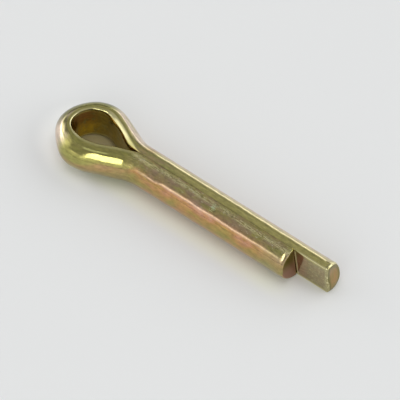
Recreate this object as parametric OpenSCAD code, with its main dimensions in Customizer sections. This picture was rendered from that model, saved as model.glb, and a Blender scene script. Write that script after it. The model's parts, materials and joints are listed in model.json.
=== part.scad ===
// Split cotter pin: half-round wire bent into an eye, with its two flat sides facing each
// other along the shank. It is one piece of steel. It lies flat, with its slit upright.
// Origin: on the shank's axis, where the eye ends and both legs run straight.
// +X runs along the shank to its tips, +Y to the long leg's side, and +Z is up.

/* [Shank] */
// Diameter of the round shank that the two legs make together
shank_d = 3.6; // [2.8:0.1:4.4]
// Gap between the flat sides of the two legs
slit = 0.1; // [0.06:0.01:0.3]
// Straight length of the short leg
short_leg = 16; // [8:0.1:50]
// How far the long leg reaches past the short one
reach = 3.5; // [0.5:0.1:8]
// Bevel round each sheared tip
tip_bevel = 0.15; // [0.05:0.01:0.4]

/* [Eye] */
// Width over the outside of the eye
eye_w = 7; // [6.4:0.1:9]
// Thickness of the wire on each side of the eye
side_t = 1.75; // [1.2:0.05:2]
// Thickness of the wire at the crown, where bending has drawn it thinner
crown_t = 1.45; // [1:0.05:2]
// Angle at which each side of the eye closes in on the shank
closing_angle = 24; // [20:0.5:30]
// Radius of the hollow outside curve between the eye and the shank
neck_r = 3.6; // [2:0.1:5]
// How far the eye hangs over to the short leg's side
eye_lean = 0.15; // [0:0.01:0.3]

/* [Hidden] */
$fn = 128;

shank_r = shank_d / 2;
// The straight wire runs this far into each bend, and a bend is this much fatter all round,
// so that the wire is one solid with no gap where a straight meets a bend.
overlap = 0.05;
swell = 0.002;

// The wire follows a middle line: a bend round the eye, a straight side, a bend at the neck
// and a straight leg. Its round side lies outside that line.
bend_r = eye_w / 2 - shank_r;
neck_bend_r = neck_r + shank_r;
// Solid left inside the middle line, for the hole and the slit to be cut from
lining = shank_r / 2;
hole_r = eye_w / 2 - side_t;
hole_x = hole_r + crown_t - eye_w / 2;

// How far outwards of the shank's axis the eye's middle lies, seen from each leg
LONG = -eye_lean;
SHORT = eye_lean;

function side_length(lean) =
    (bend_r * cos(closing_angle) + lean - neck_bend_r * (1 - cos(closing_angle)))
    / sin(closing_angle);
function neck_end(lean) =
    (bend_r + neck_bend_r) * sin(closing_angle) + side_length(lean) * cos(closing_angle);
shank_start = max(neck_end(LONG), neck_end(SHORT));

// The wire's section: the round side faces +X, and the flat side lies inside the middle line
module section(radius) {
    intersection() {
        circle(r = radius);
        translate([0, -radius]) square([radius, 2 * radius]);
    }
    translate([-lining, -radius]) square([lining, 2 * radius]);
}

module crown_bend() {
    translate([0, -eye_lean])
        rotate_extrude(angle = 180 + 2 * closing_angle, start = 90 - closing_angle)
            translate([bend_r, 0])
                section(shank_r + swell);
}

module neck_bend(lean) {
    translate([neck_end(lean), neck_bend_r])
        rotate_extrude(angle = closing_angle, start = 270 - closing_angle)
            translate([neck_bend_r, 0])
                mirror([1, 0])
                    section(shank_r + swell);
}

// The straight side of the eye, closing in on the shank
module side_bar(lean) {
    translate([0, lean])
        rotate([0, 0, 90 - closing_angle])
            translate([bend_r, overlap])
                rotate([90, 0, 0])
                    linear_extrude(height = side_length(lean) + 2 * overlap)
                        section(shank_r);
}

// One side of the eye with its neck, cut back to the slit
module eye_side(lean) {
    difference() {
        union() {
            side_bar(lean);
            neck_bend(lean);
        }
        translate([0, slit / 2 - shank_d, -shank_d])
            cube([shank_start + shank_d, shank_d, 2 * shank_d]);
    }
}

module leg(lean, tip_x) {
    start_x = neck_end(lean) - overlap;
    difference() {
        translate([start_x, 0, 0])
            rotate([0, 90, 0]) {
                cylinder(r = shank_r, h = tip_x - tip_bevel - start_x);
                translate([0, 0, tip_x - tip_bevel - start_x])
                    cylinder(r1 = shank_r, r2 = shank_r - tip_bevel, h = tip_bevel);
            }
        translate([0, slit / 2 - shank_d, -shank_d])
            cube([tip_x + shank_d, shank_d, 2 * shank_d]);
    }
}

// The drop-shaped hole: round at the crown, with two straight sides that close on the slit
function side_starts(side, lean) =
    [hole_x + hole_r * sin(closing_angle), side * (lean + hole_r * cos(closing_angle))];
function side_ends(side, lean) = [
    hole_x + hole_r * sin(closing_angle)
        + (lean + hole_r * cos(closing_angle) - slit / 2) / tan(closing_angle),
    side * slit / 2,
];

module hole() {
    translate([0, 0, -shank_d]) {
        translate([hole_x, -eye_lean]) cylinder(r = hole_r, h = 2 * shank_d);
        linear_extrude(height = 2 * shank_d)
            polygon([
                [hole_x, -eye_lean],
                side_starts(-1, SHORT),
                side_ends(-1, SHORT),
                side_ends(1, LONG),
                side_starts(1, LONG),
            ]);
    }
}

module cotter_pin() {
    short_tip = shank_start + short_leg;
    color([0.66, 0.60, 0.33])
        translate([-shank_start, 0, 0])
            difference() {
                union() {
                    crown_bend();
                    eye_side(LONG);
                    leg(LONG, short_tip + reach);
                    mirror([0, 1, 0]) {
                        eye_side(SHORT);
                        leg(SHORT, short_tip);
                    }
                }
                hole();
            }
}

cotter_pin();
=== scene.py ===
import json
import math

import bpy
from mathutils import Matrix, Vector


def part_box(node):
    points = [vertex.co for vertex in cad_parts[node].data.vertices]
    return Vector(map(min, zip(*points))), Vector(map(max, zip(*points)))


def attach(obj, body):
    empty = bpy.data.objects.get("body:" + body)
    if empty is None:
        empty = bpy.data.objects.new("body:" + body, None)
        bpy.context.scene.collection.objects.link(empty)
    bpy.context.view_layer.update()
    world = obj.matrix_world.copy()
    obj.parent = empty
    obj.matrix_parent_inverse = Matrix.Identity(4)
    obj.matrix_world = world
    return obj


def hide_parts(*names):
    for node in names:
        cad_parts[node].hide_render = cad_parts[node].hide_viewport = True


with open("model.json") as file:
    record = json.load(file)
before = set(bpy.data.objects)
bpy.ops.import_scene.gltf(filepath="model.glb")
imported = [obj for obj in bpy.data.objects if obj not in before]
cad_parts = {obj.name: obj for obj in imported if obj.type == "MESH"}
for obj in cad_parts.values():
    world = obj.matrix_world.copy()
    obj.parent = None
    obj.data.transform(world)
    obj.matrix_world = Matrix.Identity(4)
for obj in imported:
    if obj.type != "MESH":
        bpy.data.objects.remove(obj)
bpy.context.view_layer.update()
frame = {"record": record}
scene = bpy.context.scene
scene.view_settings.view_transform = "Standard"

# ---------------------------------------------------------------------------------------
# Table: a large white board that the pin lies on, sprayed matt, with no edge in sight.
# It is a plain plane, level with the pin's lowest point.
# ---------------------------------------------------------------------------------------
MM = 0.001
board_size = 6.0
pin_low, pin_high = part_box("cotter_pin")

bpy.ops.object.select_all(action="DESELECT")
bpy.ops.mesh.primitive_plane_add(size=board_size, location=(0, 0, pin_low.z))
table = bpy.context.object
table.name = "table"
bpy.ops.object.transform_apply(location=True, rotation=True, scale=True)


def give(socket, value):
    """Links a socket to another one, or sets its value. A colour may be given without alpha."""
    if isinstance(value, bpy.types.NodeSocket):
        value.id_data.links.new(value, socket)
    elif socket.type == "RGBA":
        socket.default_value = (*value, 1)
    else:
        socket.default_value = value


def add(tree, kind, **values):
    """Adds a node. Values are given by socket name, with _ for a space, or by property name."""
    node = tree.nodes.new(kind)
    for name, value in values.items():
        socket = node.inputs.get(name.replace("_", " "))
        if socket is None:
            setattr(node, name, value)
        else:
            give(socket, value)
    return node


def tree_of(*values):
    """The node tree that the values come from. Plain numbers and colours come from none."""
    return next(v.id_data for v in values if isinstance(v, bpy.types.NodeSocket))


def maths(operation, *values):
    node = add(tree_of(*values), "ShaderNodeMath", operation=operation)
    for socket, value in zip(node.inputs, values):
        give(socket, value)
    return node.outputs[0]


def times(*values):
    result = values[0]
    for value in values[1:]:
        result = maths("MULTIPLY", result, value)
    return result


def scaled(vector, factors):
    node = add(vector.id_data, "ShaderNodeVectorMath", operation="MULTIPLY", Vector=vector)
    node.inputs[1].default_value = factors
    return node.outputs[0]


def distance(vector, point):
    node = add(vector.id_data, "ShaderNodeVectorMath", operation="DISTANCE", Vector=vector)
    node.inputs[1].default_value = point
    return node.outputs["Value"]


def split(vector):
    return add(vector.id_data, "ShaderNodeSeparateXYZ", Vector=vector).outputs


def stretch(value, low, high, to_low=0.0, to_high=1.0):
    """Runs smoothly from to_low to to_high while the value goes from low to high."""
    return add(value.id_data, "ShaderNodeMapRange", interpolation_type="SMOOTHSTEP", Value=value,
               From_Min=low, From_Max=high, To_Min=to_low, To_Max=to_high).outputs[0]


def lay(under, mask, colour, mode="MIX"):
    """Lays a colour over the one under it, as strongly as the mask says."""
    node = add(tree_of(under, mask, colour), "ShaderNodeMix", data_type="RGBA", blend_type=mode)
    for number, value in ((0, mask), (6, under), (7, colour)):
        give(node.inputs[number], value)
    return node.outputs[2]


# The finish reads places in millimetres. The board's colour carries painted light: it is painted
# brighter along the short leg and beside the eye, as light that the plating throws on it, and a
# dull yellow inside the eye, as painted shade tinted by the plating's yellow light.
table_paint = bpy.data.materials.new("white board")
table_paint.use_nodes = True
tree = table_paint.node_tree
to_mm = (1 / MM, 1 / MM, 1 / MM)
place = scaled(add(tree, "ShaderNodeTexCoord").outputs["Object"], to_mm)
board = split(place)
from_eye = distance(scaled(place, (1, 1.3, 0)), (-5.6, -0.2, 0))
from_leg = maths("ABSOLUTE", maths("ADD", board["Y"], 1.9))
past_eye = maths("MULTIPLY_ADD", board["X"], -0.8, maths("MULTIPLY_ADD", board["Y"], -0.6, -4.25))
painted_light_along_leg = times(stretch(board["X"], -8, -4), stretch(board["X"], 14, 18, 1, 0),
                  stretch(from_leg, 0.3, 1.9, 1, 0))
painted_light_beside_eye = times(stretch(past_eye, 0, 2.2), stretch(from_eye, 3.9, 6.4, 1, 0))
white, painted_light_white, painted_light_bright_white = (0.80, 0.81, 0.81), (0.86, 0.87, 0.775), (0.98, 0.985, 0.97)
painted_shade_yellow = (0.50, 0.44, 0.245)
paint = lay(white, painted_light_along_leg, painted_light_white)
paint = lay(paint, painted_light_beside_eye, painted_light_bright_white)
paint = lay(paint, stretch(from_eye, 2.0, 3.0, 1, 0), painted_shade_yellow)
shader = tree.nodes["Principled BSDF"]
give(shader.inputs["Base Color"], paint)
shader.inputs["Roughness"].default_value = 0.45
shader.inputs["Specular IOR Level"].default_value = 0.35
table.data.materials.append(table_paint)

# ---------------------------------------------------------------------------------------
# Cotter pin: one length of half-round steel wire, folded back on itself round a former.
# Its two flat sides face each other along the shank, and the fold is a drop-shaped eye.
# It is cut off by a shear at both tips and then zinc plated with a yellow film.
# ---------------------------------------------------------------------------------------
shank_r = frame["record"]["mounts"][0]["dims"]["r_mm"] * MM
slit = 0.01 * MM
short_tip = 16.0 * MM
long_tip = pin_high.x
closing = math.radians(24)
eye_lean = 0.15 * MM
eye_bend_r = 1.7 * MM
neck_bend_r = 5.4 * MM
crown_thinning = 0.3 * MM
long_edge_r = 0.03 * MM
tip_edge_r = 0.19 * MM
tip_edge_steps = 4
ring_step = 0.2 * MM
hair = 1e-6  # what lies nearer than this counts as level
FAR, NEAR = 1, -1  # the long leg's side, and the short leg's

# The middle line of the wire: each side of the eye runs straight between two bends
side_length, neck_x = {}, {}
bends_x = (eye_bend_r + neck_bend_r) * math.sin(closing)
for side in (NEAR, FAR):
    side_length[side] = (
        eye_bend_r * math.cos(closing) - side * eye_lean - neck_bend_r * (1 - math.cos(closing))
    ) / math.sin(closing)
eye_x = -bends_x - side_length[NEAR] * math.cos(closing)
for side in (NEAR, FAR):
    neck_x[side] = eye_x + bends_x + side_length[side] * math.cos(closing)


def choose(mode, wanted):
    """Selects the vertices or faces of the piece for which wanted() holds, and nothing else."""
    bpy.ops.mesh.select_mode(type=mode)
    bpy.ops.mesh.select_all(action="DESELECT")
    bpy.ops.object.mode_set(mode="OBJECT")
    mesh = bpy.context.object.data
    for part in (mesh.polygons if mode == "FACE" else mesh.vertices):
        part.select = wanted(part)
    bpy.ops.object.mode_set(mode="EDIT")


def draw_out(length, direction):
    """Carries the chosen end of the wire on in a straight line, ring by ring."""
    steps = max(1, round(length / ring_step))
    step = [d * length / steps for d in direction]
    bpy.ops.mesh.extrude_repeat(steps=steps, offset=step, scale_offset=1)


def bend(angle, centre, turn, outer_r):
    """Carries the chosen end of the wire on round a bend. turn is 1 or -1."""
    steps = round(angle * outer_r / ring_step)
    bpy.ops.mesh.spin(steps=steps, angle=angle, center=centre, axis=(0, 0, turn))


# The section: the end of a round bar, halved, with its two corners rounded
bpy.ops.object.select_all(action="DESELECT")
bpy.ops.mesh.primitive_circle_add(
    vertices=96, radius=shank_r, fill_type="NGON",
    location=(short_tip - tip_edge_r, 0, 0), rotation=(0, math.pi / 2, 0))
pin = bpy.context.object
pin.name = "pin"
bpy.ops.object.transform_apply(location=True, rotation=True, scale=True)
bpy.ops.object.mode_set(mode="EDIT")
bpy.ops.mesh.select_all(action="SELECT")
bpy.ops.mesh.bisect(
    plane_co=(0, -slit / 2, 0), plane_no=(0, 1, 0), clear_outer=True, threshold=hair)
choose("VERT", lambda v: hair < -v.co.y - slit / 2 < 1.3 * long_edge_r)
bpy.ops.mesh.dissolve_verts()
choose("VERT", lambda v: abs(v.co.y + slit / 2) < hair)
bpy.ops.mesh.bevel(offset=long_edge_r, segments=2, affect="VERTICES")
choose("VERT", lambda v: abs(v.co.y + slit / 2) < hair)
bpy.ops.mesh.subdivide(number_cuts=15)

# The sweep: short leg, near side of the eye, crown, far side, long leg
choose("FACE", lambda f: True)
along = {side: (math.cos(closing), -side * math.sin(closing), 0) for side in (NEAR, FAR)}
draw_out(short_tip - tip_edge_r - neck_x[NEAR], (-1, 0, 0))
bend(closing, (neck_x[NEAR], -neck_bend_r, 0), -1, neck_bend_r)
draw_out(side_length[NEAR], [-d for d in along[NEAR]])
bend(math.pi + 2 * closing, (eye_x, -eye_lean, 0), 1, eye_bend_r + shank_r)
draw_out(side_length[FAR], along[FAR])
bend(closing, (neck_x[FAR], neck_bend_r, 0), -1, neck_bend_r)
draw_out(long_tip - tip_edge_r - neck_x[FAR], (1, 0, 0))
bpy.ops.object.mode_set(mode="OBJECT")


def on_the_wire(co):
    """Where a point of the bent wire lies on the straight wire: along it, outwards from its
    middle line, and up. Along is measured both ways from the crown's middle."""
    x, y = co.x - eye_x, co.y + eye_lean
    angle = math.atan2(y, x)
    if abs(angle) > math.pi / 2 - closing:
        rest = math.pi - abs(angle)
        run = math.copysign(rest, y) * (eye_bend_r + shank_r / 2)
        return run, math.hypot(x, y) - eye_bend_r, co.z
    side = FAR if co.y > 0 else NEAR
    crown_half = (math.pi / 2 + closing) * (eye_bend_r + shank_r / 2)
    run = x * math.cos(closing) - side * y * math.sin(closing)
    if run < side_length[side]:
        out = x * math.sin(closing) + side * y * math.cos(closing) - eye_bend_r
        return side * (crown_half + run), out, co.z
    if co.x < neck_x[side]:
        x, y = neck_x[side] - co.x, neck_bend_r - side * co.y
        run = side_length[side] + (closing - math.atan2(x, y)) * neck_bend_r
        return side * (crown_half + run), neck_bend_r - math.hypot(x, y), co.z
    run = side_length[side] + closing * neck_bend_r + co.x - neck_x[side]
    return side * (crown_half + run), side * co.y, co.z


# Bending draws the crown thinner: its flat side moves out, and the rest a little with it
straight = [on_the_wire(v.co) for v in pin.data.vertices]
flat = {i for i, (run, out, up) in enumerate(straight)
        if out < slit / 2 + hair and pin.data.vertices[i].co.x < hair}
bpy.ops.object.mode_set(mode="EDIT")
choose("VERT", lambda v: v.index in flat)
bpy.ops.transform.translate(
    value=(-crown_thinning, 0, 0), use_proportional_edit=True,
    proportional_edit_falloff="SMOOTH", proportional_size=0.65 * MM)


def push(wanted, by, reach):
    """Pushes part of the wire over, with all that lies within reach giving way smoothly."""
    choose("VERT", wanted)
    bpy.ops.transform.translate(
        value=[b * MM for b in by], use_proportional_edit=True,
        proportional_edit_falloff="SMOOTH", proportional_size=reach * MM)


def near(v, x, y, within):
    """Whether a vertex, seen from above, is near a place given in millimetres."""
    return math.hypot(v.co.x - x * MM, v.co.y - y * MM) < within * MM


# The former was not quite round, and it drew the crown out to a blunt end
push(lambda v: near(v, -9.1, -0.75, 0.35) and abs(v.co.z) < 1.0 * MM, (-0.24, -0.03, 0), 2.6)

# The hole leans over to the long leg's side
push(lambda v: v.index in flat and near(v, -4.6, 1.35, 0.6), (0.06, 0.15, 0), 1.7)
push(lambda v: v.index in flat and near(v, -6.0, -1.75, 0.5), (0, 0.24, 0), 1.5)

# The near side is a little slimmer by the neck, and fuller towards the crown
push(lambda v: near(v, -4.8, -3.3, 0.4), (0.02, 0.06, 0), 1.7)
push(lambda v: near(v, -6.7, -3.2, 0.5) and v.index not in flat, (-0.03, -0.06, 0), 1.9)

# The narrow end of the hole leans over too, and the crown's upper edge is drawn out
push(lambda v: v.index in flat and near(v, -3.3, -0.5, 0.5), (0, 0.10, 0), 1.3)
push(lambda v: v.index in flat and near(v, -3.6, 0.80, 0.4), (0.02, 0.09, 0), 1.3)
push(lambda v: v.index in flat and near(v, -7.5, -1.1, 0.6) and v.co.z > 0.9 * MM,
     (-0.09, -0.05, 0), 1.1)

# The hole narrows a little towards the underside
choose("VERT", lambda v: v.index in flat and v.co.z < -1.3 * MM and v.co.x < -4.2 * MM)
bpy.ops.transform.resize(
    value=(0.87, 0.87, 1), center_override=(-5.2 * MM, -0.6 * MM, 0), use_proportional_edit=True,
    proportional_edit_falloff="SMOOTH", proportional_size=2.6 * MM)
bpy.ops.object.mode_set(mode="OBJECT")


def ease(value, start, end):
    """Rises smoothly from 0 at start to 1 at end, or falls where end is below start."""
    t = min(1, max(0, (value - start) / (end - start)))
    return t * t * (3 - 2 * t)


# The former presses the rim of the hole round, and into a narrow flat on the long leg's side.
# The rim is pressed least between the crown and that flat.
from_edge = [math.hypot(max(out, 0), shank_r - abs(up)) / MM for run, out, up in straight]
for name, repeats, width in (("rim", 60, 0.75), ("flat rim", 120, 0.50)):
    rim = pin.vertex_groups.new(name=name)
    for v in pin.data.vertices:
        run = straight[v.index][0] / MM
        weight = ease(from_edge[v.index], width, 0.4 * width) * ease(v.co.x / MM, -0.7, -2.4)
        if name == "rim":
            weight *= 1 - 0.55 * ease(run, -0.6, 0.6) * ease(run, 5.0, 3.6)
        else:
            weight *= ease(run, 3.8, 5.6)
        rim.add([v.index], weight, "REPLACE")
    smoothing = pin.modifiers.new(name, "SMOOTH")
    smoothing.vertex_group = name
    smoothing.factor = 0.5
    smoothing.iterations = repeats
    bpy.ops.object.modifier_apply(modifier=name)
    pin.vertex_groups.clear()
bpy.ops.object.mode_set(mode="EDIT")

# The die that closed the neck squared the short leg's shoulder and left a nick beside it
push(lambda v: -1.0 * MM < v.co.x < 1.8 * MM
     and math.hypot(v.co.y + 1.3 * MM, v.co.z - 1.25 * MM) < 0.14 * MM, (0, -0.12, 0.01), 0.8)
push(lambda v: near(v, -1.78, -1.05, 0.10) and v.co.z > 1.0 * MM, (0, 0.02, -0.05), 0.4)

# The tips: the end face narrows step by step round a quarter circle, and is then filled in
edge_angle = math.pi / 2 / tip_edge_steps
for tip, side in ((short_tip, NEAR), (long_tip, FAR)):
    choose("FACE", lambda f: abs(f.normal.x) > 0.99 and abs(f.center.x - tip) < tip_edge_r + hair
           and f.center.y * side > 0)
    half_w, half_h = (shank_r - slit / 2) / 2, shank_r
    face_middle = (tip, side * (shank_r + slit / 2) / 2, 0)
    cut = 0
    for k in range(tip_edge_steps):
        a0, a1 = edge_angle * k, edge_angle * (k + 1)
        step = tip_edge_r * (math.sin(a1) - math.sin(a0))
        before, cut = cut, tip_edge_r * (1 - math.cos(a1))
        bpy.ops.mesh.extrude_region_move(TRANSFORM_OT_translate={"value": (step, 0, 0)})
        bpy.ops.transform.resize(
            value=(1, (half_w - cut) / (half_w - before), (half_h - cut) / (half_h - before)),
            center_override=face_middle)
    for share in (0.85, 0.8, 0.75, 0.65, 0.5):
        bpy.ops.mesh.extrude_region_move(TRANSFORM_OT_translate={"value": (0, 0, 0)})
        bpy.ops.transform.resize(value=(1, share, share), center_override=face_middle)

# The shear cut the short tip askew and dragged its outer edge round
tip_place = (short_tip, 0, 0)
choose("VERT", lambda v: v.co.x > short_tip - tip_edge_r - hair and v.co.y < 0)
bpy.ops.transform.rotate(value=math.radians(7.6), orient_axis="Y", center_override=tip_place)
bpy.ops.transform.rotate(value=math.radians(8.2), orient_axis="Z", center_override=tip_place)
bpy.ops.transform.translate(value=(0.18 * MM, 0, 0))
choose("VERT", lambda v: v.co.y < -0.5 * MM and v.co.x > short_tip - 0.6 * MM
       and math.hypot(v.co.y, v.co.z) > 1.2 * MM and -0.2 * MM < v.co.z < 1.6 * MM)
bpy.ops.mesh.vertices_smooth(factor=0.5, repeat=14, wait_for_input=False)

# The long tip sits a little further out, with a lip low on its outside and a small burr high up
choose("VERT", lambda v: v.co.x > long_tip - tip_edge_r - hair)
bpy.ops.transform.translate(value=(0.08 * MM, 0, 0))
push(lambda v: v.co.x > long_tip - hair and v.co.y > 1.0 * MM and v.co.z < -1.1 * MM,
     (0.32, 0, 0), 1.9)
push(lambda v: v.co.x > long_tip - tip_edge_r and v.co.y > 0.3 * MM and v.co.z > 1.2 * MM,
     (0.02, 0.03, 0.09), 0.6)
bpy.ops.mesh.select_all(action="SELECT")
bpy.ops.mesh.normals_make_consistent(inside=False)
bpy.ops.object.mode_set(mode="OBJECT")

# Handling has left the wire very slightly uneven
unevenness = bpy.data.textures.new("unevenness", "CLOUDS")
unevenness.noise_scale = 1.3 * MM
uneven = pin.modifiers.new("uneven", "DISPLACE")
uneven.texture = unevenness
uneven.texture_coords = "LOCAL"
uneven.mid_level = 0.5
uneven.strength = 0.04 * MM
bpy.ops.object.modifier_apply(modifier=uneven.name)
bpy.ops.object.shade_smooth_by_angle(angle=math.radians(40))

# Kept for the finish, which follows the wire round its bends
layer = pin.data.attributes.new("straight wire", "FLOAT_VECTOR", "POINT")
straight += [on_the_wire(v.co) for v in pin.data.vertices[len(straight):]]
layer.data.foreach_set("vector", [c for place in straight for c in place])


def noise(place, scale, detail=2.0, rough=0.5, twist=0.0):
    """Patches, grain or specks, as many to the millimetre as scale says in each direction."""
    return add(place.id_data, "ShaderNodeTexNoise", Vector=scaled(place, scale), Scale=1.0,
               Detail=detail, Roughness=rough, Distortion=twist).outputs["Fac"]


def around(value, middle, inner, outer):
    """A band: 1 within inner of the middle, and 0 beyond outer."""
    return stretch(maths("ABSOLUTE", maths("SUBTRACT", value, middle)), inner, outer, 1, 0)


def most(first, *others):
    for other in others:
        first = maths("MAXIMUM", first, other)
    return first


def length(vector):
    node = add(vector.id_data, "ShaderNodeVectorMath", operation="LENGTH", Vector=vector)
    return node.outputs["Value"]


# The plating, as a group for the drawn wire and for its sheared ends. It reads places on the
# straight wire in millimetres: run, minus on the short leg and plus on the long one, and out and
# up across it. The eye ends near run 10, and the tips are at run -26.5 and 29.9.
film = bpy.data.node_groups.new("yellow film", "ShaderNodeTree")
for name, kind in (("Color", "Color"), ("Roughness", "Float"), ("Height", "Float"),
                   ("Along", "Float"), ("Up", "Float"), ("From Outline", "Float"),
                   ("Coat", "Float")):
    film.interface.new_socket(name, in_out="OUTPUT", socket_type="NodeSocket" + kind)
wire = add(film, "ShaderNodeAttribute", attribute_name="straight wire").outputs["Vector"]
place = scaled(wire, to_mm)
run, out, height_on_wire = split(place)
up = maths("ABSOLUTE", height_on_wire)
from_middle = maths("ABSOLUTE", run)
in_the_eye = stretch(from_middle, 8.4, 10.4, 1, 0)
on_short_leg = stretch(run, -9.6, -9.0, 1, 0)
wire_r = shank_r / MM

# Its colour down the sides: rose, gold and green patches, a paler cream painted on the ridges of
# the legs under their highlights as a painted highlight, and duller in the eye and near the short
# tip
patches = maths("ADD", times(noise(place, (0.28, 0.5, 0.5), twist=0.4), 0.68),
                times(noise(place, (0.8, 1.8, 1.8)), 0.32))
patches = maths("MULTIPLY_ADD", maths("SUBTRACT", up, 0.7), 0.15, patches)
patches = maths("MULTIPLY_ADD", in_the_eye, -0.09, patches)
hues = add(film, "ShaderNodeValToRGB", Fac=patches)
stops = ((0.34, (0.38, 0.32, 0.08)), (0.42, (0.46, 0.32, 0.09)), (0.50, (0.53, 0.30, 0.10)),
         (0.58, (0.59, 0.30, 0.15)), (0.68, (0.59, 0.34, 0.23)))
ramp = hues.color_ramp.elements
ramp[0].position = stops[0][0]
ramp[-1].position = stops[-1][0]
for at, colour in stops[1:-1]:
    ramp.new(at)
for element, (at, colour) in zip(ramp, stops):
    element.color = (*colour, 1)
highlight_rose_cream, highlight_gold_cream = (0.70, 0.48, 0.33), (0.70, 0.63, 0.33)
eye_brown, tip_olive = (0.42, 0.31, 0.15), (0.37, 0.33, 0.13)
legs = stretch(from_middle, 9.6, 11.5)
painted_highlight_ridges = most(times(stretch(run, -1, 1), stretch(up, 1.0, 1.4), 1.4), around(up, 1.27, 0.03, 0.15))
painted_highlight_cream = lay(highlight_rose_cream, stretch(run, -1, 1), highlight_gold_cream)
sides = lay(hues.outputs[0], times(legs, painted_highlight_ridges, 0.6), painted_highlight_cream)
sides = lay(sides, times(in_the_eye, 0.55), eye_brown)
sides = lay(sides, stretch(run, -23.0, -25.0, 0, 0.6), tip_olive)

# Olive gold on top, which reaches lower down in the eye, most of all on its near side, and stops
# nearer the slit on the long leg. The short leg has dull rose patches, and the long leg is paler.
covered = maths("MULTIPLY_ADD", in_the_eye, 0.45, up)
near_side = times(stretch(run, -6.5, -4.2), stretch(run, -1.8, -2.8))
covered = maths("MULTIPLY_ADD", near_side, 0.6, covered)
long_shoulder = times(stretch(run, 10.0, 12.0), stretch(out, 0.68, 0.86))
on_top = times(stretch(covered, 1.16, 1.60), maths("SUBTRACT", 1.0, long_shoulder))
green_olive, brown_olive = (0.43, 0.41, 0.115), (0.47, 0.37, 0.16)
dull_rose, eye_olive, pale_olive = (0.46, 0.33, 0.21), (0.40, 0.40, 0.10), (0.53, 0.48, 0.14)
broad = noise(place, (0.7, 1.8, 1.8), detail=3.0)
olive = lay(green_olive, stretch(broad, 0.40, 0.62), brown_olive)
dull = times(stretch(run, -10.0, -9.0, 1, 0), stretch(out, 0.3, 0.7),
             stretch(noise(place, (0.45, 1.3, 1.3), detail=4.0, rough=0.6), 0.46, 0.60))
olive = lay(olive, times(dull, 0.8), dull_rose)
olive = lay(olive, times(in_the_eye, 0.8), eye_olive)
olive = lay(olive, stretch(run, 12, 15), pale_olive)
colour = lay(sides, times(on_top, 0.85), olive)

# Bending stretched the outside of the eye, where the film is pale and silvery in streaks. Painted
# shade darkens it past the crown on the long leg's side and in a band on top of the crown
silvery, shaded_olive, painted_shade_brown = (0.84, 0.67, 0.55), (0.17, 0.17, 0.04), (0.20, 0.18, 0.06)
streaks = noise(place, (0.35, 2.2, 2.2), detail=3.0)
at_the_end = most(around(run, -1.0, 0.9, 2.2), stretch(run, 3.8, 5.0))
pale = times(in_the_eye, stretch(out, 0.55, 1.0), at_the_end, stretch(streaks, 0.30, 0.52))
colour = lay(colour, times(pale, 0.85), silvery)
shaded = times(stretch(run, -1.5, -0.3), stretch(run, 3.6, 4.6, 1, 0), stretch(out, 0.8, 1.15))
colour = lay(colour, times(shaded, 0.85), shaded_olive)
painted_shade_crown_band = times(stretch(run, -2.6, -2.0), stretch(run, -0.3, -0.7), stretch(out, 0.58, 0.68),
                   stretch(out, 1.04, 0.88), stretch(up, 1.4, 1.5))
colour = lay(colour, times(painted_shade_crown_band, 0.75), painted_shade_brown)

# Little of it reached the flat side, which is a dark olive brown with bright specks. Past the short
# tip a red patch is painted on it, a painted reflection of the short tip's end. In the eye it is
# amber:
# gold low down, brown higher up, duller on the long leg's side and darker from the crown to the
# short leg.
amber_gold, amber_brown = (0.70, 0.50, 0.055), (0.40, 0.20, 0.075)
side_amber, crown_amber = (0.38, 0.30, 0.075), (0.25, 0.13, 0.03)
olive_brown, dusty_olive = (0.31, 0.25, 0.095), (0.36, 0.33, 0.15)
bright_speck, reflection_red = (0.56, 0.50, 0.23), (0.42, 0.24, 0.13)
flat_side = times(stretch(out, 0.12, 0.5, 1, 0), stretch(up, 1.45, 1.7, 1, 0))
amber = lay(amber_gold, stretch(height_on_wire, -0.9, 0.9), amber_brown)
amber = lay(amber, stretch(run, 1.5, 4.0), side_amber)
amber = lay(amber, stretch(run, 0.6, -1.0, 0, 0.5), crown_amber)
inner = lay(olive_brown, in_the_eye, amber)
dust = noise(place, (1.3, 1.6, 1.6), detail=4.0, rough=0.7)
inner = lay(inner, stretch(dust, 0.50, 0.66), dusty_olive)
gritty = noise(place, (4, 4.5, 4.5), detail=4.0, rough=0.75)
inner = lay(inner, times(stretch(from_middle, 10, 11), stretch(gritty, 0.53, 0.64)), bright_speck)
painted_reflection_patch = times(stretch(run, 26.0, 26.5), stretch(run, 28.1, 27.4))
inner = lay(inner, times(painted_reflection_patch, 0.65), reflection_red)
colour = lay(colour, times(flat_side, 0.9), inner)

# All of it is a little mottled
mottle = noise(place, (1.6, 4, 4), detail=4.0, rough=0.65)
level = stretch(mottle, 0.3, 0.7, 0.78, 1.14)
grey = add(film, "ShaderNodeCombineXYZ", X=level, Y=level, Z=level).outputs[0]
colour = lay(colour, 1.0, grey, "MULTIPLY")

# A bright line is painted on top of the eye's near side as a painted highlight, and the long tip's
# rounded edge is painted dark, a painted shade, where it is not rubbed
highlight_yellow, tip_edge_shade, bare_metal_and_highlight = (0.88, 0.86, 0.30), (0.36, 0.32, 0.13), (0.84, 0.77, 0.42)
painted_highlight_line = times(around(run, -5.7, 0.9, 1.4), around(out, 0.77, 0.03, 0.09), stretch(up, 1.4, 1.5))
colour = lay(colour, times(painted_highlight_line, 0.85), highlight_yellow)
colour = lay(colour, stretch(run, 29.58, 29.68, 0, 0.8), tip_edge_shade)

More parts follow.
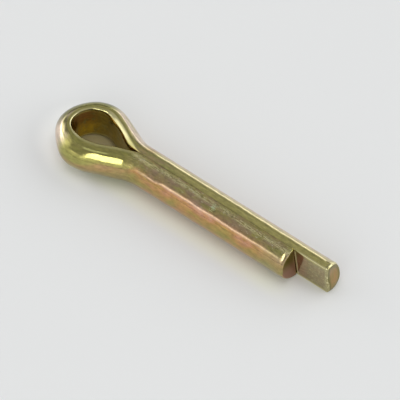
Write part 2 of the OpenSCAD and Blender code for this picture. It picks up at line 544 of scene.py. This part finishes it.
# Rubbed bright, and in part painted highlights: the rim of the hole, the edge of the long leg past
# the short tip, and its tip
corner = add(film, "ShaderNodeCombineXYZ", X=maths("MAXIMUM", out, 0.0),
             Y=maths("SUBTRACT", wire_r, up)).outputs[0]
off_corner = length(corner)
rubbed_and_highlit = times(in_the_eye, stretch(off_corner, 0.24, 0.40, 1, 0), stretch(run, -0.5, 3.4, 1, 0.4),
               stretch(run, -4.2, -3.0, 0.35, 1))
flat_rim = times(stretch(run, 3.4, 4.8), stretch(run, 9.0, 7.0),
                 stretch(off_corner, 0.36, 0.50, 1, 0))
bare_and_highlit_edge = times(stretch(run, 26.2, 27.4), stretch(off_corner, 0.05, 0.16, 1, 0))
bare_and_highlit_tip = times(stretch(run, 29.62, 29.76),
                 most(stretch(out, 0.3, 0.5), stretch(gritty, 0.48, 0.60)))
rubbed_and_highlit = most(rubbed_and_highlit, flat_rim, bare_and_highlit_edge, bare_and_highlit_tip)
rubbed_and_highlit = times(rubbed_and_highlit, stretch(noise(place, (0.8, 3, 3), detail=3.0), 0.25, 0.45, 0.5, 1))

# Scuffed in a band beside the slit on the short leg, and lightly scratched along the top
wander = maths("MULTIPLY_ADD", noise(place, (0.22, 0, 0), detail=1.0), 0.35,
               stretch(run, -27, -17, 0.40, 0.19))
specks = noise(place, (1.6, 7, 7), detail=5.0, rough=0.75)
scuffed = times(on_short_leg, stretch(up, 1.45, 1.6), around(out, wander, 0.06, 0.34),
                stretch(specks, 0.38, 0.56))
scratches = noise(place, (0.13, 15, 15), detail=3.0, rough=0.6)
scratched = times(on_top, stretch(scratches, 0.60, 0.72), stretch(specks, 0.42, 0.60))
# Worn metal and the painted highlights of the rims share one pale colour
bare_and_highlit = most(times(rubbed_and_highlit, 0.85), times(scuffed, 0.62), times(scratched, 0.4))
colour = lay(colour, bare_and_highlit, bare_metal_and_highlight)

# Pitted on top of the short leg: painted shade in the holes, and painted glints on those where the
# light catches them
pit_shade, pit_glint = (0.20, 0.17, 0.07), (0.80, 0.74, 0.52)
pits = noise(place, (3.5, 6, 6), detail=2.0)
pitted = times(on_short_leg, on_top)
colour = lay(colour, times(pitted, stretch(pits, 0.61, 0.68), 0.6), pit_shade)
colour = lay(colour, times(pitted, stretch(pits, 0.36, 0.31), 0.6), pit_glint)

# A bright line is painted on the long leg's flat side beside the short tip, a painted highlight of
# the short tip's rounded edge, and a drop dried green on the short leg
slit_highlight_colour, dried_green = (0.84, 0.80, 0.50), (0.50, 0.68, 0.43)
slit_highlight_line = maths("MULTIPLY_ADD", height_on_wire, 0.13, maths("SUBTRACT", run, 26.69))
painted_slit_highlight = times(flat_side, stretch(maths("ABSOLUTE", slit_highlight_line), 0.05, 0.11, 1, 0))
colour = lay(colour, times(painted_slit_highlight, 0.8), slit_highlight_colour)
from_drop = distance(scaled(place, (0.8, 1, 0)), (-14.5, 0.70, 0))
from_drop = maths("MULTIPLY_ADD", maths("SUBTRACT", specks, 0.5), 1.8, from_drop)
dried = times(stretch(from_drop, 0.02, 0.26, 1, 0), stretch(up, 1.2, 1.4))
colour = lay(colour, times(dried, 0.55), dried_green)

# Its surface: drawn lines along the wire, and a fine grain that is coarser where the neck was
# pinched, and duller there on the short leg's side
drawn = noise(place, (0.25, 9, 9), detail=3.0, rough=0.6)
grain = noise(place, (6, 6, 6), detail=3.0, rough=0.6)
pinched = around(from_middle, 10.0, 1.2, 1.7)
grain = maths("MULTIPLY_ADD", times(grain, pinched, on_top), 1.5, grain)
rough = maths("ADD", maths("MULTIPLY_ADD", drawn, 0.12, 0.05), times(scuffed, 0.2))
rough = maths("MULTIPLY_ADD", most(painted_slit_highlight, dried), 0.4, rough)
rough = maths("MULTIPLY_ADD", times(pinched, stretch(run, -1, 1, 1, 0)), 0.14, rough)
height = maths("ADD", times(drawn, 0.0012), times(grain, 0.0028))
height = maths("MULTIPLY_ADD", times(most(scuffed, scratched), specks), -0.006, height)
from_centre = length(scaled(place, (0, 1, 1)))
from_outline = maths("MINIMUM", out, maths("SUBTRACT", wire_r, from_centre))
coat = maths("SUBTRACT", maths("MULTIPLY_ADD", in_the_eye, -0.2, 0.6),
             times(flat_side, in_the_eye, 0.35))
puts_out = (colour, rough, height, run, height_on_wire, from_outline, coat)
for socket, value in zip(film.nodes.new("NodeGroupOutput").inputs, puts_out):
    give(socket, value)


def plated(name):
    """Gives the pin a metal that carries the film. Returns its shader's sockets and the film's."""
    metal = bpy.data.materials.new(name)
    metal.use_nodes = True
    shader = metal.node_tree.nodes["Principled BSDF"]
    shader.inputs["Metallic"].default_value = 1
    group = metal.node_tree.nodes.new("ShaderNodeGroup")
    group.node_tree = film
    pin.data.materials.append(metal)
    return shader.inputs, group.outputs


def raised(height):
    """Turns a height in millimetres into a bump."""
    bump = add(height.id_data, "ShaderNodeBump", Strength=1.0, Distance=MM, Height=height)
    return bump.outputs[0]


shader, plating = plated("yellow plating")
shader["Coat Roughness"].default_value = 0.1
give(shader["Base Color"], plating["Color"])
give(shader["Roughness"], plating["Roughness"])
give(shader["Coat Weight"], plating["Coat"])
give(shader["Normal"], raised(plating["Height"]))

# The sheared ends: torn metal under the film. The short leg's end is painted with reflections: red
# brown low down, where the shaded board shows in it, and dark olive high up, where the long leg's
# flat shows. The long one's is tan, with an olive edge that is painted shade.
low_reflection_brown, high_reflection_olive = (0.36, 0.20, 0.13), (0.17, 0.13, 0.02)
light_tan, dark_tan, edge_shade_olive = (0.44, 0.27, 0.12), (0.38, 0.28, 0.11), (0.21, 0.20, 0.07)
shader, plating = plated("sheared end")
end_place = add(tree_of(plating["Up"]), "ShaderNodeTexCoord").outputs["Object"]
torn = noise(end_place, (900, 4200, 1500), detail=4.0, rough=0.65)
short_end_reflections = lay(low_reflection_brown, stretch(plating["Up"], -0.6, 0.9), high_reflection_olive)
tan = lay(light_tan, stretch(torn, 0.35, 0.65), dark_tan)
tan = lay(tan, stretch(plating["From Outline"], 0.28, 0.52, 0.8, 0), edge_shade_olive)
give(shader["Base Color"], lay(short_end_reflections, stretch(plating["Along"], -1, 1), tan))
give(shader["Roughness"], maths("MULTIPLY_ADD", torn, 0.25, 0.25))
give(shader["Normal"], raised(times(torn, 0.012)))
bpy.ops.object.mode_set(mode="EDIT")
choose("FACE", lambda f: f.normal.x > 0.93 and f.center.x > short_tip - 0.3 * MM)
pin.active_material_index = 1
bpy.ops.object.material_slot_assign()
bpy.ops.object.mode_set(mode="OBJECT")

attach(pin, "root")
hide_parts("cotter_pin")

# ---------------------------------------------------------------------------------------
# Light: a tent of thin grey cloth round the board, with daylight coming in at its openings,
# a soft box beside the camera and a skylight nearly overhead.
# ---------------------------------------------------------------------------------------

# One opening: a window in the cloth, with sides, bottom and top that fade. It puts out its own
# level where it shows, and the rest of the tent's level everywhere else.
opening = bpy.data.node_groups.new("opening in the tent", "ShaderNodeTree")
for name, kind in (("Direction", "Vector"), ("Middle", "Vector"), ("Half Width", "Float"),
                   ("Bottom", "Float"), ("Top", "Float"), ("Softness", "Float"),
                   ("Level", "Float"), ("Rest", "Float")):
    opening.interface.new_socket(name, in_out="INPUT", socket_type="NodeSocket" + kind)
opening.interface.new_socket("Level", in_out="OUTPUT", socket_type="NodeSocketFloat")
given = opening.nodes.new("NodeGroupInput").outputs
level_way = add(opening, "ShaderNodeVectorMath", operation="NORMALIZE",
                Vector=scaled(given["Direction"], (1, 1, 0))).outputs[0]
towards = add(opening, "ShaderNodeVectorMath", operation="DOT_PRODUCT")
give(towards.inputs[0], level_way)
give(towards.inputs[1], given["Middle"])
angle = maths("ARCCOSINE", towards.outputs["Value"])
height = split(given["Direction"])["Z"]
shows = 1.0
for value, edge, sense, soft in ((angle, given["Half Width"], -1, 0.12),
                                 (height, given["Bottom"], 1, 0.03),
                                 (height, given["Top"], -1, 0.05)):
    shows = times(shows, stretch(maths("SUBTRACT", value, edge),
                                 times(given["Softness"], -sense * soft),
                                 times(given["Softness"], sense * soft)))
mixed = add(opening, "ShaderNodeMix", Factor=shows, A=given["Rest"], B=given["Level"])
give(opening.nodes.new("NodeGroupOutput").inputs[0], mixed.outputs[0])

tent = bpy.data.worlds.new("light tent")
scene.world = tent
tent.use_nodes = True
tree = tent.node_tree
direction = add(tree, "ShaderNodeTexCoord").outputs["Generated"]
cloth = add(tree, "ShaderNodeMapRange", Value=split(direction)["Z"], From_Min=0.3, From_Max=1.0,
            To_Min=0.50, To_Max=0.43)
level = cloth.outputs[0]

# Each opening: its middle's azimuth, half width, bottom and top in degrees, softness and level
for azimuth, half_width, bottom, top, softness, brightness in (
        (135, 28, -9, 10, 1.5, 0.22), (185, 27, -9, 8, 1, 2.1), (193, 17, 8, 28, 0.8, 2.1),
        (90, 8, 3, 30, 1, 0.7), (84, 15, -10, 5, 1, 1.7), (106, 8, -5, 9, 0.6, 1.6),
        (108, 5, 17, 27, 0.5, 0.32), (228, 20, -20, 22, 3, 0.85), (202, 11, 25, 51, 0.9, 0.95),
        (212, 8, -4, 42, 1.5, 1.4), (252, 16, -10, 4, 1, 0.62), (252, 16, 4, 31, 1.5, 0.86),
        (283, 15, -10, 3, 1, 0.56), (283, 15, 3, 31, 1, 0.92), (248, 8, 24, 31, 1, 1.6),
        (274, 5, 14, 54, 0.3, 1.6), (32, 32, 0, 42, 1, 1.9), (78, 13, 15, 62, 1, 1.6),
        (279, 9, 58, 65, 0.4, 0.25)):
    a = math.radians(azimuth)
    window = tree.nodes.new("ShaderNodeGroup")
    window.node_tree = opening
    for name, value in (("Direction", direction), ("Rest", level),
                        ("Middle", (math.cos(a), math.sin(a), 0)),
                        ("Half Width", math.radians(half_width)),
                        ("Bottom", math.sin(math.radians(bottom))),
                        ("Top", math.sin(math.radians(top))),
                        ("Softness", softness), ("Level", brightness)):
        give(window.inputs[name], value)
    level = window.outputs[0]

# Seen straight on, the cloth is a plain pale grey
pale_grey = (0.745, 0.76, 0.76)
seen = add(tree, "ShaderNodeLightPath").outputs["Is Camera Ray"]
grey = add(tree, "ShaderNodeCombineXYZ", X=level, Y=level, Z=level).outputs[0]
give(tree.nodes["Background"].inputs["Color"], lay(grey, seen, pale_grey))


def area_lamp(name, aim, azimuth, elevation, distance, width, height, radiance, in_metal, on_board):
    """A rectangular soft lamp that faces the pin. Azimuth is measured from +X, anticlockwise.
    It shows in the metal, lights the board, or both."""
    lamp = bpy.data.lights.new(name, "AREA")
    lamp.shape = "RECTANGLE"
    lamp.size, lamp.size_y = width, height
    lamp.energy = radiance * width * height * math.pi
    obj = bpy.data.objects.new(name, lamp)
    scene.collection.objects.link(obj)
    a, e = math.radians(azimuth), math.radians(elevation)
    way = Vector((math.cos(a) * math.cos(e), math.sin(a) * math.cos(e), math.sin(e)))
    obj.location = Vector(aim) + way * distance
    obj.rotation_mode = "QUATERNION"
    obj.rotation_quaternion = way.to_track_quat("Z", "Y")
    obj.visible_glossy = in_metal
    obj.visible_diffuse = on_board


pin_middle = ((pin_low + pin_high) / 2).to_tuple()
area_lamp("soft box", pin_middle, azimuth=-74, elevation=42, distance=0.5, width=0.175,
          height=0.30, radiance=3.4, in_metal=True, on_board=False)
area_lamp("front light", pin_middle, azimuth=-74, elevation=42, distance=0.5, width=0.175,
          height=0.30, radiance=1.0, in_metal=False, on_board=True)
area_lamp("skylight", pin_middle, azimuth=145, elevation=83.5, distance=0.6, width=0.43,
          height=0.43, radiance=1.52, in_metal=False, on_board=True)

# ---------------------------------------------------------------------------------------
# Camera: a long lens, looking down on the pin from its short leg's side.
# ---------------------------------------------------------------------------------------
camera = bpy.data.objects.new("camera", bpy.data.cameras.new("camera"))
scene.collection.objects.link(camera)
scene.camera = camera
camera.data.sensor_width = 36
camera.data.lens = 512.8
camera.data.clip_start = 0.01
camera.data.clip_end = 20

# How far off it stands, and how it is turned about the upright, down and over, in degrees
camera_distance = 0.5
turned, looking_down, rolled = 36.71, 56.72, 0.15
aim = Vector((5.635, 0.188, -0.072)) * MM
turn = (
    Matrix.Rotation(math.radians(turned), 4, "Z")
    @ Matrix.Rotation(math.radians(90 - looking_down), 4, "X")
    @ Matrix.Rotation(math.radians(rolled), 4, "Z"))
camera.matrix_world = Matrix.Translation(
    aim + turn.to_3x3() @ Vector((0, 0, camera_distance))) @ turn
